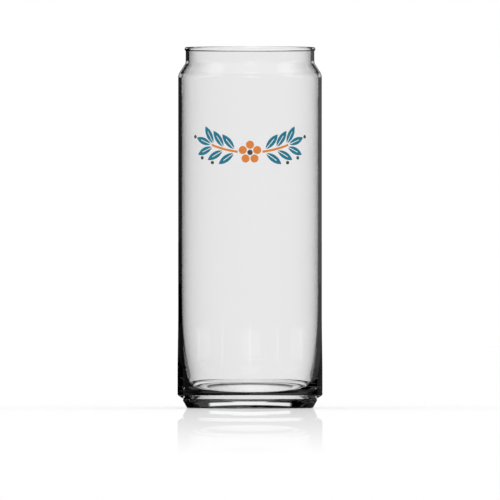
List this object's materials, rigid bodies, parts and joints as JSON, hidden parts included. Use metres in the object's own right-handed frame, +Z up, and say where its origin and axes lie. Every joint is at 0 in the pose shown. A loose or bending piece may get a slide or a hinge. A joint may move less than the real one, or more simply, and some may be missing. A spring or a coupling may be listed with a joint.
{
  "type": "can shaped drinking glass",
  "caption": "Clear slim drinking glass shaped like a drinks can, with a sloped shoulder, a round lip, a heavy stepped base and a printed leaf garland.",
  "frame": {"origin": "the middle of the foot, on the surface that the glass stands on", "axes": "+Z up along the glass's axis; the printed front faces -Y"},
  "size_m": [0.061, 0.061, 0.152],
  "materials": {
    "glass": "clear and fire polished",
    "teal_ink": "fired enamel ink, satin gloss",
    "orange_ink": "fired enamel ink, satin gloss",
    "charcoal_ink": "fired enamel ink, satin gloss"
  },
  "bodies": {
    "root": {"glass": "glass", "print_leaves": "teal_ink", "print_flower": "orange_ink", "print_berries": "charcoal_ink"}
  },
  "joints": []
}
